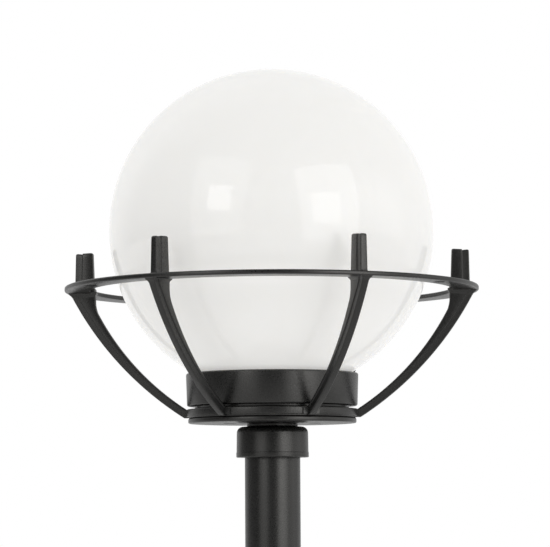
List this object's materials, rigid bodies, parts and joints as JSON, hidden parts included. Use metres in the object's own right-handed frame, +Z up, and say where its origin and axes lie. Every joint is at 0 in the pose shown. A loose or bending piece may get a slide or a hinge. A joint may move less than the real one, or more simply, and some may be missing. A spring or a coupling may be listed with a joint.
{
  "type": "globe garden lantern",
  "caption": "Garden lantern on a short tube post: an opal globe stands in a round collar inside a basket of a flat ring on curved ribs; the globe lifts off and the bulb screws out.",
  "frame": {"origin": "on the ground, at the middle of the foot's underside", "axes": "+Z up along the post, -Y towards the front"},
  "size_m": [0.3178, 0.3178, 0.6],
  "materials": {
    "powder_coat": "fine-textured satin powder coat",
    "opal_acrylic": "polished opal",
    "stainless_steel": "plain",
    "blackened_steel": "black screw finish",
    "zinc_steel": "zinc plated",
    "dark_rubber": "matt",
    "white_rubber": "matt",
    "porcelain": "glazed porcelain",
    "brass": "plain",
    "nickel_cap": "nickel plated",
    "black_glass": "vitrified",
    "frosted_glass": "frosted",
    "block_plastic": "moulded",
    "wire_brown": "cable sleeve",
    "wire_blue": "cable sleeve",
    "wire_green": "cable sleeve"
  },
  "bodies": {
    "stand": {"foot_flange": "powder_coat", "post_tube": "powder_coat", "post_socket": "powder_coat", "base_plate": "powder_coat", "basket_hub": "powder_coat", "basket_rib_1": "powder_coat", "basket_rib_2": "powder_coat", "basket_rib_3": "powder_coat", "basket_rib_4": "powder_coat", "basket_rib_5": "powder_coat", "basket_rib_6": "powder_coat", "basket_ring": "powder_coat", "collar": "powder_coat", "foot_grub_screw_1": "stainless_steel", "foot_grub_screw_2": "stainless_steel", "foot_grub_screw_3": "stainless_steel", "socket_grub_screw_1": "stainless_steel", "socket_grub_screw_2": "stainless_steel", "globe_clip_1": "stainless_steel", "globe_clip_2": "stainless_steel", "globe_clip_3": "stainless_steel", "clip_screw_1": "stainless_steel", "clip_screw_2": "stainless_steel", "clip_screw_3": "stainless_steel", "plate_screw_1": "blackened_steel", "plate_screw_2": "blackened_steel", "centre_nipple": "zinc_steel", "nipple_nut_lower": "zinc_steel", "nipple_nut_upper": "zinc_steel", "holder_bracket": "zinc_steel", "holder_screw_1": "zinc_steel", "holder_screw_2": "zinc_steel", "cable_grommet": "dark_rubber", "globe_gasket": "white_rubber", "lampholder": "porcelain", "holder_shell": "brass", "holder_contact": "brass", "terminal_screw_1": "brass", "terminal_screw_2": "brass", "terminal_screw_3": "brass", "earth_screw": "brass", "terminal_block": "block_plastic", "wire_live": "wire_brown", "wire_neutral": "wire_blue", "wire_earth": "wire_green"},
    "globe": {"globe": "opal_acrylic"},
    "bulb_rise": {"bulb_tip": "nickel_cap"},
    "bulb": {"bulb_glass": "frosted_glass", "bulb_cap": "nickel_cap", "bulb_insulator": "black_glass"}
  },
  "joints": [
    {"name": "globe_lift", "type": "slide", "parent": "stand", "child": "globe", "axis": [0, 0, 1], "range_m": [0, 0.16]},
    {"name": "bulb_travel", "type": "slide", "parent": "stand", "child": "bulb_rise", "axis": [0, 0, 1], "range_m": [0, 0.0182]},
    {"name": "bulb_turn", "type": "hinge", "parent": "bulb_rise", "child": "bulb", "pos_m": [0, 0, 0.38], "axis": [0, 0, 1], "range_deg": [0, 1800]}
  ],
  "couplings": [
    {"joint": "bulb_travel", "follows": "bulb_turn", "m_per_rad": 0.00057773}
  ]
}
